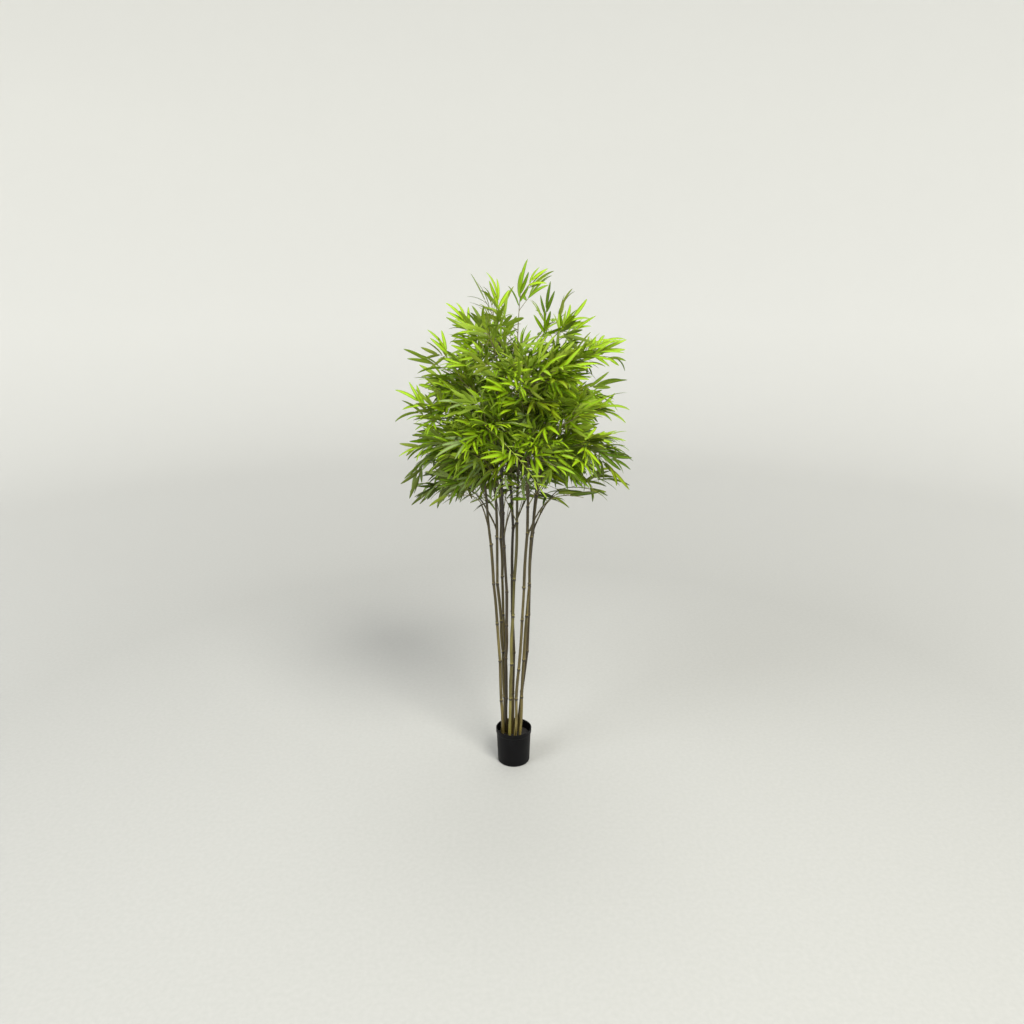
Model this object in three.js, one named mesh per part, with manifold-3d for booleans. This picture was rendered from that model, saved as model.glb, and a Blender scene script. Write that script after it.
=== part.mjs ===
// A potted bamboo, 2.1 m tall, of the artificial kind: natural canes that stand in the filling of a black
// nursery pot and fork into side boughs. Each bough's end, the end of each cane and, higher up, the canes'
// own sides carry masses of leafy twigs.
// Millimetres, +Z up. The origin is the centre of the pot's underside, and -Y is the front.

import * as THREE from "three";
import { mergeVertices } from "three/addons/utils/BufferGeometryUtils.js";
import Module from "manifold-3d";

const wasm = await Module();
wasm.setup();

// Pot and filling
const POT_HEIGHT = 156;
const POT_RIM_RADIUS = 76.5;
const POT_BASE_RADIUS = 68.5;
const POT_WALL = 2.2;
const POT_FLOOR = 3;
const POT_LIP_HEIGHT = 20;
const POT_LIP_PROUD = 2.2;
const POT_FOOT_CHAMFER = 3;
const POT_SIDES = 32;
const FILLING_BELOW_RIM = 35;
const FILLING_CROWN = 4;
const FILLING_FLAT = 0.85;

// The gap between pieces that touch each other on the real plant
const SEAT_GAP = 0.3;

// Canes: where each one stands at the heights in STATIONS, where its tip is, and how far out and up the mass
// of foliage on its tip reaches
const STATIONS = [125, 500, 800, 1100];
const CANES = [
  { at: [[-49, -20], [-57, -22], [-79, -24], [-99, -30]], tip: [-150, -32, 1560], reach: [405, 1810] },
  { at: [[-40, 12], [-43, 22], [-66, 36], [-70, 55]], tip: [-98, 76, 1690], reach: [290, 1940] },
  { at: [[-33, 36], [-35, 44], [-50, 62], [-52, 82]], tip: [-34, 132, 1560], reach: [385, 1770] },
  { at: [[-28, -1], [-31, -16], [-31, -34], [-44, -52]], tip: [-56, -98, 1680], reach: [250, 1960] },
  { at: [[-18, -38], [-10, -34], [-2, -22], [12, -14]], tip: [14, -6, 1790], reach: [34, 2104] },
  { at: [[-7, 4], [-1, 8], [-9, 16], [-7, 26]], tip: [-56, 12, 1800], reach: [150, 2056] },
  { at: [[5, -42], [22, -40], [39, -46], [53, -60]], tip: [54, -124, 1560], reach: [350, 1810] },
  { at: [[25, -34], [42, -22], [62, -14], [80, -10]], tip: [142, -18, 1570], reach: [425, 1852] },
  { at: [[15, 25], [56, 24], [64, 30], [86, 42]], tip: [112, 52, 1700], reach: [310, 1970] },
];
const CANE_SIDES = 6;
const CANE_FOOT_RADIUS = 6.4;
const CANE_TIP_RADIUS = 4.2;
const CANE_NODE_SPACING = 178;
const CANE_NODE_UNEVEN = 72;
const CANE_NODE_SWELL = 1.2;
const CANE_NODE_HALF_HEIGHT = 6;
const CANE_NODE_KINK = 2.4;
const CANE_SEED = 100;

// Tiers of masses, each mass a turn further round the plant than the one before. A mass leaves its cane at
// the tier's foot, on a bough that ends as far out and up as start says, or else on its own stem. Its
// furthest leaf reaches out to the tier's width at the plant's sides or its depth at front and back, and up
// to its height, which rises to the front. A tier climbs from its first mass to its last, and takes the
// canes nearest to the places at caneOut on its turns.
const TIERS = [
  { name: "skirt", count: 7, first: 10, turn: 51.4, caneOut: 90, foot: 1036, start: [158, 152],
    width: 466, depth: 415, height: 1200, frontRise: 125, climb: 0 },
  { name: "lower", count: 6, first: 345, turn: 60, caneOut: 90, foot: 1215, start: [146, 135],
    width: 472, depth: 420, height: 1385, frontRise: 75, climb: 0 },
  { name: "middle", count: 6, first: 10, turn: 60, caneOut: 90, foot: 1370,
    width: 474, depth: 415, height: 1605, frontRise: 35, climb: 0 },
  { name: "inner", count: 5, first: 235, turn: 144, caneOut: 30, foot: 1380,
    width: 300, depth: 290, height: 1560, frontRise: 0, climb: 260 },
];
const CANE_LEFT_ABOVE = 90;
const BOUGH_SIDES = 5;
const BOUGH_FOOT_RADIUS = 3.4;
const BOUGH_TIP_RADIUS = 2.5;
const BOUGH_BEND = [0.42, 0.62];
const STEM_SIDES = 3;
const STEM_RADIUS = 2.6;
const STEM_TIP_RADIUS = 2.1;
const STEM_BOW = 0.4;
const STEM_RISE = 1.1;
const ARC_STEPS = 3;

// The crown's outline, which holds all twigs and leaves: a foot that rises to the front and a round top
const CROWN_FOOT = 1112;
const CROWN_FRONT_RISE = 0.45;
const CROWN_SHOULDER = 1640;
const CROWN_TOP = 2108;
const CROWN_RADIUS = 476;

// Twigs and leaves
const TWIG_SIDES = 3;
const TWIG_RADIUS = 2.2;
const TWIG_TAPER = 0.8;
const TWIGS_TRIED = 20;
const TWIG_ORDER = 3;
const TWIG_SHARES = [0.86, 0.1];
const TWIG_LENGTHS = [64, 110];
const TWIG_TILT = 52;
const TWIG_TILT_SPREAD = 20;
const TWIG_TURN = 137.5;
const TWIG_TURN_SPREAD = 40;
const TWIG_LOWEST = -0.2;
const FEWEST_LEAVES_ON_TWIG = 2;
const LEAF_LENGTH = 150;
const LEAF_SHORTEST = 0.84;
const LEAF_WIDTH = 36;
const LEAF_THICKNESS = 3;
const LEAF_WIDEST_AT = 0.36;
const LEAF_DROOP = 0.2;
const LEAF_SPACING = 8;
const LEAF_SIZES = [1, 0.8, 0.62];
const END_LEAF_SUNK = 3;
const SIDE_LEAF_SUNK = 0.7;
const FAN = [0, 40, -40, 76, -76];
const FAN_SPREAD = 8;
const FAN_ROLL = 130;
const MOST_LEAVES = 12;
const LEAF_GAP = 7;
const MASS_GAP = 4;
const LIMB_GAP = 1.5;
const LIMB_PIECES = 12;
const LIMB_CLEARANCE = 10;
const CHECKED_AT = [0.15, LEAF_WIDEST_AT, 0.6, 1];
const TWIG_CHECKED_FROM = 0.2;
const BLADE_FULLNESS = 0.7;
const APART_STEPS = 8;
const MASS_SEED = 1000;

// Colours
const BLACK_PLASTIC = new THREE.MeshStandardMaterial({ color: 0x1b1b1f, roughness: 0.5, metalness: 0 });
const DARK_FILLING = new THREE.MeshStandardMaterial({ color: 0x1d1a18, roughness: 0.95, metalness: 0 });
const CANE_SKIN = new THREE.MeshStandardMaterial({ color: 0x77683c, roughness: 0.55, metalness: 0 });
const BOUGH_SKIN = new THREE.MeshStandardMaterial({ color: 0x4f4a2a, roughness: 0.6, metalness: 0 });
const LEAF_GREEN = new THREE.MeshStandardMaterial({ color: 0x6a8f1e, roughness: 0.5, metalness: 0 });

const UP = new THREE.Vector3(0, 0, 1);
const plant = new THREE.Group();

const degrees = (angle) => (angle * Math.PI) / 180;
const mix = (a, b, share) => a + (b - a) * share;
const vec = (x, y, z) => new THREE.Vector3(x, y, z);
const around = (angle, out, z) => vec(out * Math.cos(degrees(angle)), out * Math.sin(degrees(angle)), z);

// Seeded random numbers, so that the plant grows the same way each time.
function seeded(seed) {
  let state = seed >>> 0;
  return () => {
    state = (Math.imul(state, 1664525) + 1013904223) >>> 0;
    return state / 2 ** 32;
  };
}

function add(name, geometry, material) {
  const mesh = new THREE.Mesh(geometry, material);
  mesh.name = name;
  plant.add(mesh);
}

// A closed geometry as a solid that can be joined and cut.
function solid(geometry) {
  const bare = geometry.clone();
  bare.deleteAttribute("normal");
  bare.deleteAttribute("uv");
  const merged = mergeVertices(bare, 1e-3);
  const corners = [];
  for (let i = 0; i < merged.index.count; i += 3) {
    const [a, b, c] = [0, 1, 2].map((k) => merged.index.getX(i + k));
    if (a !== b && b !== c && a !== c) corners.push(a, b, c);
  }
  const vertProperties = merged.attributes.position.array;
  return new wasm.Manifold(new wasm.Mesh({ numProp: 3, vertProperties, triVerts: new Uint32Array(corners) }));
}

function geometryOf(made) {
  const mesh = made.getMesh();
  const geometry = new THREE.BufferGeometry();
  geometry.setAttribute("position", new THREE.BufferAttribute(mesh.vertProperties, 3));
  geometry.setIndex(new THREE.BufferAttribute(mesh.triVerts, 1));
  geometry.computeVertexNormals();
  return geometry;
}

// A profile of [radius, height] pairs turned round the upright axis.
function turned(profile, sides) {
  const geometry = new THREE.LatheGeometry(profile.map(([r, z]) => new THREE.Vector2(r, z)), sides);
  return geometry.rotateX(Math.PI / 2);
}

// A turned shape of the given [share, radius] pairs, laid along a line.
function limb(profile, sides, line) {
  const outline = [[profile[0][0], 0], ...profile, [profile[profile.length - 1][0], 0]];
  const geometry = new THREE.LatheGeometry(outline.map(([share, r]) => new THREE.Vector2(r, share)), sides);
  const position = geometry.attributes.position;
  for (let i = 0; i < position.count; i += 1) {
    const share = position.getY(i);
    const turn = new THREE.Quaternion().setFromUnitVectors(UP, line.directionAt(share));
    const offset = vec(position.getX(i), -position.getZ(i), 0).applyQuaternion(turn);
    position.setXYZ(i, ...line.pointAt(share).add(offset));
  }
  return geometry;
}

// The pot's outer wall under its lip, which widens evenly from the foot.
const wallRadius = (z) => mix(POT_BASE_RADIUS, POT_RIM_RADIUS - POT_LIP_PROUD, z / POT_HEIGHT);

function pot() {
  const lipFoot = POT_HEIGHT - POT_LIP_HEIGHT;
  const profile = [
    [0, 0],
    [POT_BASE_RADIUS - POT_FOOT_CHAMFER, 0],
    [wallRadius(POT_FOOT_CHAMFER), POT_FOOT_CHAMFER],
    [wallRadius(lipFoot), lipFoot],
    [POT_RIM_RADIUS, lipFoot + POT_LIP_PROUD],
    [POT_RIM_RADIUS, POT_HEIGHT],
    [POT_RIM_RADIUS - POT_LIP_PROUD - POT_WALL, POT_HEIGHT],
    [wallRadius(POT_FLOOR) - POT_WALL, POT_FLOOR],
    [0, POT_FLOOR],
  ];
  return turned(profile, POT_SIDES);
}

function filling() {
  const foot = POT_FLOOR + SEAT_GAP;
  const edge = POT_HEIGHT - FILLING_BELOW_RIM;
  const inside = (z) => wallRadius(z) - POT_WALL - SEAT_GAP;
  const profile = [
    [0, foot],
    [inside(foot), foot],
    [inside(edge), edge],
    [inside(edge) * FILLING_FLAT, edge + FILLING_CROWN - SEAT_GAP],
    [0, edge + FILLING_CROWN - SEAT_GAP],
  ];
  return turned(profile, POT_SIDES);
}

// A smooth line through four values, between the second and the third.
function smooth([p0, p1, p2, p3], t) {
  const bend = (2 * p0 - 5 * p1 + 4 * p2 - p3) * t ** 2 + (3 * (p1 - p2) + p3 - p0) * t ** 3;
  return 0.5 * (2 * p1 + (p2 - p0) * t + bend);
}

// The cane's smooth centre at a height.
function caneCentre(cane, z) {
  const heights = [...STATIONS, cane.tip[2]];
  const places = [...cane.at, cane.tip];
  let i = 0;
  while (i < heights.length - 2 && z > heights[i + 1]) i += 1;
  const t = (z - heights[i]) / (heights[i + 1] - heights[i]);
  const near = [i - 1, i, i + 1, i + 2].map((k) => places[Math.min(Math.max(k, 0), places.length - 1)]);
  return vec(smooth(near.map((p) => p[0]), t), smooth(near.map((p) => p[1]), t), z);
}

// The cane's growth rings: unevenly spaced, and each knocked a little off the smooth centre.
function caneNodes(cane, index) {
  const random = seeded(CANE_SEED + index);
  const foot = STATIONS[0];
  const tip = cane.tip[2];
  const count = Math.round((tip - foot) / CANE_NODE_SPACING);
  return Array.from({ length: count + 1 }, (_, k) => {
    const free = k === 0 || k === count ? 0 : 1;
    const z = mix(foot, tip, k / count) + free * (random() - 0.5) * CANE_NODE_UNEVEN;
    const kink = () => free * (random() - 0.5) * 2 * CANE_NODE_KINK;
    return caneCentre(cane, z).add(vec(kink(), kink(), 0));
  });
}

// The cane as a line that is straight between its rings.
function caneLine(nodes) {
  const foot = nodes[0].z;
  const tip = nodes[nodes.length - 1].z;
  const atHeight = (z) => {
    let i = 0;
    while (i < nodes.length - 2 && z > nodes[i + 1].z) i += 1;
    return nodes[i].clone().lerp(nodes[i + 1], (z - nodes[i].z) / (nodes[i + 1].z - nodes[i].z));
  };
  const shareOf = (z) => (z - foot) / (tip - foot);
  const pointAt = (share) => atHeight(mix(foot, tip, share));
  return { nodes, atHeight, shareOf, pointAt, directionAt: () => UP };
}

// The cane as a turned shape that swells at each ring, all of it wider by extra.
function caneShape(line, extra) {
  const radius = (share) => mix(CANE_FOOT_RADIUS, CANE_TIP_RADIUS, share);
  const rings = line.nodes.slice(1, -1).flatMap(({ z }) =>
    [-1, 0, 1].map((side) => {
      const share = line.shareOf(z + side * CANE_NODE_HALF_HEIGHT);
      return [share, radius(share) * (side ? 1 : CANE_NODE_SWELL) + extra];
    }),
  );
  return limb([[0, radius(0) + extra], ...rings, [1, radius(1) + extra]], CANE_SIDES, line);
}

// An arc in a few straight steps, with the smooth arc's direction anywhere along it.
function arc(from, control, to) {
  const curve = new THREE.QuadraticBezierCurve3(from, control, to);
  const points = curve.getPoints(ARC_STEPS);
  const pointAt = (share) => {
    const i = Math.min(Math.floor(share * ARC_STEPS), ARC_STEPS - 1);
    return points[i].clone().lerp(points[i + 1], share * ARC_STEPS - i);
  };
  return { pointAt, directionAt: (share) => curve.getTangent(share), length: curve.getLength() };
}

function arcShape(line, sides, footRadius, tipRadius) {
  const shares = Array.from({ length: ARC_STEPS + 1 }, (_, k) => k / ARC_STEPS);
  const profile = shares.map((share) => [share, mix(footRadius, tipRadius, share)]);
  return solid(limb(profile, sides, line));
}

// The least distance between two straight pieces, from points along the first.
function apart([a, b], [c, d]) {
  const other = new THREE.Line3(c, d);
  const distances = Array.from({ length: APART_STEPS + 1 }, (_, k) => {
    const point = a.clone().lerp(b, k / APART_STEPS);
    return point.distanceTo(other.closestPointToPoint(point, true, vec(0, 0, 0)));
  });
  return Math.min(...distances);
}

// A line's straight pieces, for measuring how far others pass it.
function piecesOf(line, radius, owner) {
  return Array.from({ length: LIMB_PIECES }, (_, k) => ({
    ends: [line.pointAt(k / LIMB_PIECES), line.pointAt((k + 1) / LIMB_PIECES)],
    radius,
    owner,
  }));
}

const caneLines = CANES.map((cane, index) => caneLine(caneNodes(cane, index)));

// What a new limb keeps clear of: the canes and the limbs that have grown so far.
const grown = caneLines.flatMap((line, index) => piecesOf(line, CANE_FOOT_RADIUS, index));

// The bough's arc, from the cane's centre up and out to the start of its mass.
function boughArc(tier, angle, from) {
  const to = around(angle, tier.start[0], from.z + tier.start[1]);
  const control = from.clone().lerp(to, BOUGH_BEND[0]);
  control.z = mix(from.z, to.z, BOUGH_BEND[1]);
  return arc(from, control, to);
}

// The stem's arc, from where it starts to where its end leaf springs, a leaf's length short of its reach.
function stemArc(reach, from, direction) {
  const whole = reach.distanceTo(from);
  const to = from.clone().lerp(reach, 1 - (LEAF_LENGTH - END_LEAF_SUNK) / whole);
  return arc(from, from.clone().addScaledVector(direction, from.distanceTo(to) * STEM_BOW), to);
}

// One mass of a tier on one cane, with its bough if it has one, its stem, and the limb that leaves the cane.
function tierMass(tier, k, cane) {
  const angle = tier.first + k * tier.turn;
  const climb = (tier.climb * k) / (tier.count - 1);
  const from = caneLines[cane].atHeight(tier.foot + climb);
  const sideways = Math.abs(Math.cos(degrees(angle)));
  const out = mix(tier.depth, tier.width, sideways);
  const front = Math.max(0, -Math.sin(degrees(angle)));
  const reach = around(angle, out, tier.height + climb + tier.frontRise * front);
  const mass = { name: `${tier.name}_${k + 1}`, angle, reach, cane };
  if (!tier.start) {
    const stem = stemArc(reach, from, around(angle, 1, STEM_RISE).normalize());
    return { ...mass, stem, first: stem };
  }
  const bough = boughArc(tier, angle, from);
  const direction = bough.directionAt(1);
  const stem = stemArc(reach, bough.pointAt(1).addScaledVector(direction, SEAT_GAP), direction);
  return { ...mass, bough, stem, first: bough };
}

// Whether the limb that a mass leaves its cane by clears all that has grown on the other canes.
function inTheClear({ cane, first }) {
  const others = grown.filter(({ owner }) => owner !== cane);
  const pieces = piecesOf(first, BOUGH_FOOT_RADIUS, cane);
  return others.every(({ ends, radius }) =>
    pieces.every((piece) => apart(piece.ends, ends) > radius + LIMB_CLEARANCE),
  );
}

// A tier's masses, each on the nearest cane where its limb is in the clear. A level tier uses no cane twice.
function growTier(tier) {
  const taken = [];
  return Array.from({ length: tier.count }, (_, k) => {
    const foot = tier.foot + (tier.climb * k) / (tier.count - 1);
    const target = around(tier.first + k * tier.turn, tier.caneOut, foot);
    const distance = (cane) => caneLines[cane].atHeight(foot).distanceTo(target);
    const free = (cane) => tier.climb > 0 || !taken.includes(cane);
    const open = (cane) => free(cane) && CANES[cane].tip[2] > foot + CANE_LEFT_ABOVE;
    const nearest = [...CANES.keys()].filter(open).sort((a, b) => distance(a) - distance(b));
    const masses = nearest.map((cane) => tierMass(tier, k, cane));
    const chosen = masses.find(inTheClear) ?? masses[0];
    taken.push(chosen.cane);
    grown.push(...piecesOf(chosen.first, BOUGH_FOOT_RADIUS, chosen.cane));
    return chosen;
  });
}

// The mass on a cane's tip, which reaches on the way the tip leans.
function tipMass(cane, index) {
  const angle = (Math.atan2(cane.tip[1], cane.tip[0]) * 180) / Math.PI;
  const reach = around(angle, ...cane.reach);
  const from = caneLines[index].pointAt(1).addScaledVector(UP, SEAT_GAP);
  return { name: `tip_${index + 1}`, angle, reach, stem: stemArc(reach, from, UP) };
}

const masses = [...TIERS.flatMap(growTier), ...CANES.map(tipMass)];
const boughs = masses.filter(({ bough }) => bough);
const limbs = [
  ...caneLines.flatMap((line) => piecesOf(line, CANE_FOOT_RADIUS)),
  ...boughs.flatMap(({ bough }) => piecesOf(bough, BOUGH_FOOT_RADIUS)),
];

// A mass's own space lies nearer to the line from its stem's foot to its furthest tip than to any other such.
masses.forEach((mass) => {
  mass.line = new THREE.Line3(mass.stem.pointAt(0), mass.reach);
});

function inSpace(point, mass) {
  const distance = ({ line }) => point.distanceTo(line.closestPointToPoint(point, true, vec(0, 0, 0)));
  const own = distance(mass) + MASS_GAP;
  return masses.every((other) => other === mass || distance(other) > own);
}

function inCrown(point) {
  const foot = CROWN_FOOT + CROWN_FRONT_RISE * Math.max(0, -point.y);
  const rise = Math.max(0, point.z - CROWN_SHOULDER) / (CROWN_TOP - CROWN_SHOULDER);
  const radius = CROWN_RADIUS * Math.sqrt(Math.max(0, 1 - rise ** 2));
  return point.z > foot && Math.hypot(point.x, point.y) < radius;
}

// Whether a twig or leaf stays in its mass's space and the crown's outline, and clears the canes and boughs.
function fits(from, to, halfWidth, side, mass) {
  const inside = CHECKED_AT.every((share) => {
    const point = from.clone().lerp(to, share);
    const half = share < 1 ? halfWidth : 0;
    return [half, -half].every((offset) => inSpace(point.clone().addScaledVector(side, offset), mass));
  });
  const room = halfWidth * BLADE_FULLNESS + LIMB_GAP;
  const clears = ({ ends, radius }) => apart([from, to], ends) > radius + room;
  return inside && inCrown(to) && limbs.every(clears);
}

function leafFits(leaf, mass, leaves) {
  const free = leaves.every((other) => apart([leaf.root, leaf.tip], [other.root, other.tip]) > LEAF_GAP);
  return free && fits(leaf.root, leaf.tip, leaf.width / 2, leaf.side, mass);
}

// The leaves of a fan that have room, each as long as it can grow there.
function withRoom(candidates, mass, leaves) {
  const fitted = (leaf) => {
    const tipAt = (size) => leaf.root.clone().lerp(leaf.tip, size);
    const sizes = LEAF_SIZES.map((size) => ({ ...leaf, tip: tipAt(size), width: leaf.width * size }));
    return sizes.find((one) => leafFits(one, mass, leaves));
  };
  return candidates.map(fitted).filter(Boolean);
}

// The two directions across a line: level and to the side, and up and away from it.
function across(direction, angle) {
  const level = vec(-Math.sin(degrees(angle)), Math.cos(degrees(angle)), 0);
  const side = level.addScaledVector(direction, -level.dot(direction)).normalize();
  return { side, face: side.clone().cross(direction) };
}

// Leaves that spread like a fan from the last part of a twig, the first of them straight on from its end.
function fan(line, angle, random) {
  const direction = line.directionAt(1);
  const { side, face } = across(direction, angle);
  const roll = degrees((random() - 0.5) * FAN_ROLL);
  const level = side.applyAxisAngle(direction, roll);
  const upper = face.applyAxisAngle(direction, roll);
  return FAN.map((spread, k) => {
    const turn = degrees(spread + (k ? (random() - 0.5) * FAN_SPREAD : 0));
    const length = LEAF_LENGTH * (k ? mix(LEAF_SHORTEST, 1, random()) : 1);
    const way = direction.clone().applyAxisAngle(upper, turn);
    way.z -= LEAF_DROOP * Math.abs(Math.sin(turn));
    way.normalize();
    const root = line.pointAt(1 - (LEAF_SPACING * k) / line.length);
    root.addScaledVector(way, k ? -SIDE_LEAF_SUNK : -END_LEAF_SUNK);
    const blade = level.clone().addScaledVector(way, -level.dot(way)).normalize();
    const tip = root.clone().addScaledVector(way, length);
    return { root, tip, side: blade, face: way.clone().cross(blade), width: LEAF_WIDTH };
  });
}

// A blade with a flat underside and a ridge along its top, from its root to its tip.
function leafSolid({ root, tip, side, face, width }) {
  const middle = root.clone().lerp(tip, LEAF_WIDEST_AT);
  const edges = [width / 2, -width / 2].map((half) => middle.clone().addScaledVector(side, half));
  const ridge = middle.clone().addScaledVector(face, LEAF_THICKNESS);
  const geometry = new THREE.BufferGeometry().setFromPoints([root, tip, ...edges, ridge]);
  geometry.setIndex([0, 2, 3, 1, 3, 2, 0, 4, 2, 0, 3, 4, 1, 2, 4, 1, 4, 3]);
  return solid(geometry);
}

// A twig that springs from the stem, turned further round it than the one before.
function twigArc({ stem, angle }, k, random) {
  const step = (k * TWIG_ORDER) % TWIGS_TRIED;
  const share = mix(...TWIG_SHARES, step / (TWIGS_TRIED - 1));
  const from = stem.pointAt(share);
  const along = stem.directionAt(share);
  const { side, face } = across(along, angle);
  const turn = degrees(k * TWIG_TURN + random() * TWIG_TURN_SPREAD);
  const lift = Math.max(Math.sin(turn), TWIG_LOWEST);
  const outward = side.multiplyScalar(Math.cos(turn)).addScaledVector(face, lift);
  const tilt = degrees(TWIG_TILT + (random() - 0.5) * TWIG_TILT_SPREAD);
  const way = along.multiplyScalar(Math.cos(tilt)).addScaledVector(outward, Math.sin(tilt)).normalize();
  const to = from.clone().addScaledVector(way, mix(...TWIG_LENGTHS, random()));
  return arc(from, from.clone().lerp(to, 0.5), to);
}

const cutFromCane = (made, cane) => made.subtract(solid(caneShape(caneLines[cane], SEAT_GAP)));

// A stem with its leafy twigs, fused into one solid, and cut clear of its cane if it springs from one's side.
function massSolid(mass, index) {
  const random = seeded(MASS_SEED + index);
  const pieces = [arcShape(mass.stem, STEM_SIDES, STEM_RADIUS, STEM_TIP_RADIUS)];
  const [endLeaf, ...others] = fan(mass.stem, mass.angle, random);
  const leaves = [endLeaf, ...withRoom(others, mass, [])];
  for (let k = 0; k < TWIGS_TRIED && leaves.length < MOST_LEAVES; k += 1) {
    const twig = twigArc(mass, k, random);
    const found = withRoom(fan(twig, mass.angle, random), mass, leaves);
    const ends = [twig.pointAt(0), twig.pointAt(1)];
    const free = leaves.every((leaf) => apart(ends, [leaf.root, leaf.tip]) > LEAF_GAP);
    const open = fits(twig.pointAt(TWIG_CHECKED_FROM), ends[1], TWIG_RADIUS, UP, mass);
    if (found.length >= FEWEST_LEAVES_ON_TWIG && open && free) {
      pieces.push(arcShape(twig, TWIG_SIDES, TWIG_RADIUS, TWIG_RADIUS * TWIG_TAPER));
      leaves.push(...found.slice(0, MOST_LEAVES - leaves.length));
    }
  }
  const whole = wasm.Manifold.union([...pieces, ...leaves.map(leafSolid)]);
  return mass.first === mass.stem ? cutFromCane(whole, mass.cane) : whole;
}

function boughSolid({ bough, cane }) {
  return cutFromCane(arcShape(bough, BOUGH_SIDES, BOUGH_FOOT_RADIUS, BOUGH_TIP_RADIUS), cane);
}

add("pot", pot(), BLACK_PLASTIC);
add("filling", filling(), DARK_FILLING);
caneLines.forEach((line, index) => add(`cane_${index + 1}`, caneShape(line, 0), CANE_SKIN));
boughs.forEach((mass) => add(`bough_${mass.name}`, geometryOf(boughSolid(mass)), BOUGH_SKIN));
masses.forEach((mass, index) => add(`foliage_${mass.name}`, geometryOf(massSolid(mass, index)), LEAF_GREEN));

export default plant;
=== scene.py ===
"""The looks of the potted bamboo: its canes, boughs, twigs, leaves and pot as fine meshes, and a stage."""

import math

import bpy
import numpy as np
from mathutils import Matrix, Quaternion, Vector, noise


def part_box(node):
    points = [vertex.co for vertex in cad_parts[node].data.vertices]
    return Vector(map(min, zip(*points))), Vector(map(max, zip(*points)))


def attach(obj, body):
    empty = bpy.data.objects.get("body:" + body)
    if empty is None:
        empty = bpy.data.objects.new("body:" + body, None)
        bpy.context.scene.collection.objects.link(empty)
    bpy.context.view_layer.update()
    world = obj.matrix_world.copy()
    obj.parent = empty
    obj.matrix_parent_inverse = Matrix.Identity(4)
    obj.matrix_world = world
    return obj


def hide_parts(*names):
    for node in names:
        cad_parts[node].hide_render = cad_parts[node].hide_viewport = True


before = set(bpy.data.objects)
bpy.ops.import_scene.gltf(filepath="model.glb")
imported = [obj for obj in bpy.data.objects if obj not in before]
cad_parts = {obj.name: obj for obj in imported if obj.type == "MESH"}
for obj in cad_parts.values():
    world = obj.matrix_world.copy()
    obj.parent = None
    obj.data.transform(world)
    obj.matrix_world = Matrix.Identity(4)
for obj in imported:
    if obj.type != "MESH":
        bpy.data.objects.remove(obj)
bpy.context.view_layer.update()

# The skeleton is worked out in millimetres, by the rule of the solids, and the meshes are in metres
MM = 0.001

# Camera, as the photograph was taken
CAMERA_PLACE = (-0.0075, -3.2, 2.05)
CAMERA_DOWN = 16.1
PHOTO_SIDE = 1024
PHOTO_FOCAL = 829
SENSOR = 36

# Canes: where each stands at the heights in STATIONS, its tip, and how far out and up its mass reaches
STATIONS = (125, 500, 800, 1100)
CANES = [dict(zip(("at", "tip", "reach"), facts)) for facts in (
    (((-49, -20), (-57, -22), (-79, -24), (-99, -30)), (-150, -32, 1560), (405, 1810)),
    (((-40, 12), (-43, 22), (-66, 36), (-70, 55)), (-98, 76, 1690), (290, 1940)),
    (((-33, 36), (-35, 44), (-50, 62), (-52, 82)), (-34, 132, 1560), (385, 1770)),
    (((-28, -1), (-31, -16), (-31, -34), (-44, -52)), (-56, -98, 1680), (250, 1960)),
    (((-18, -38), (-10, -34), (-2, -22), (12, -14)), (14, -6, 1790), (34, 2104)),
    (((-7, 4), (-1, 8), (-9, 16), (-7, 26)), (-56, 12, 1800), (150, 2056)),
    (((5, -42), (22, -40), (39, -46), (53, -60)), (54, -124, 1560), (350, 1810)),
    (((25, -34), (42, -22), (62, -14), (80, -10)), (142, -18, 1570), (425, 1852)),
    (((15, 25), (56, 24), (64, 30), (86, 42)), (112, 52, 1700), (310, 1970)),
)]
CANE_FOOT_RADIUS = 6.4
CANE_TIP_RADIUS = 4.2
CANE_NODE_SPACING = 178
CANE_NODE_UNEVEN = 72
CANE_NODE_KINK = 2.4
CANE_SEED = 100

# Tiers of masses, as the solids have them
TIER_FACTS = ("name", "count", "first", "turn", "cane_out", "foot", "climb", "start",
              "width", "depth", "height", "front_rise")
TIERS = [dict(zip(TIER_FACTS, facts)) for facts in (
    ("skirt", 7, 10, 51.4, 90, 1036, 0, (158, 152), 466, 415, 1200, 125),
    ("lower", 6, 345, 60, 90, 1215, 0, (146, 135), 472, 420, 1385, 75),
    ("middle", 6, 10, 60, 90, 1370, 0, None, 474, 415, 1605, 35),
    ("inner", 5, 235, 144, 30, 1380, 260, None, 300, 290, 1560, 0),
)]
CANE_LEFT_ABOVE = 90
BOUGH_FOOT_RADIUS = 3.4
BOUGH_TIP_RADIUS = 2.5
BOUGH_BEND = (0.42, 0.62)
STEM_BOW = 0.4
STEM_RISE = 1.1
ARC_STEPS = 3
LIMB_PIECES = 12
LIMB_CLEARANCE = 10
APART_STEPS = 8
SOLID_LEAF = 147

# The crown's outline
CROWN_FOOT = 1112
CROWN_FRONT_RISE = 0.45
CROWN_SHOULDER = 1640
CROWN_TOP = 2108
CROWN_RADIUS = 476
CROWN_DEPTH = 424
CROWN_RIGHT_RISE = 0.13
THINNED_FROM = 1700
THINNED_LEFT = 0.7
LEFT_AT_TOP = 0.1
FRINGE_FROM = 0.78
LEFT_IN_FRINGE = 0.38
THINNED_FOOT = 115
LEFT_AT_FOOT = 0.3
OPEN_BELOW = 1400
OPEN_WIDTH = 120
LEFT_IN_OPEN = 0.4

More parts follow.
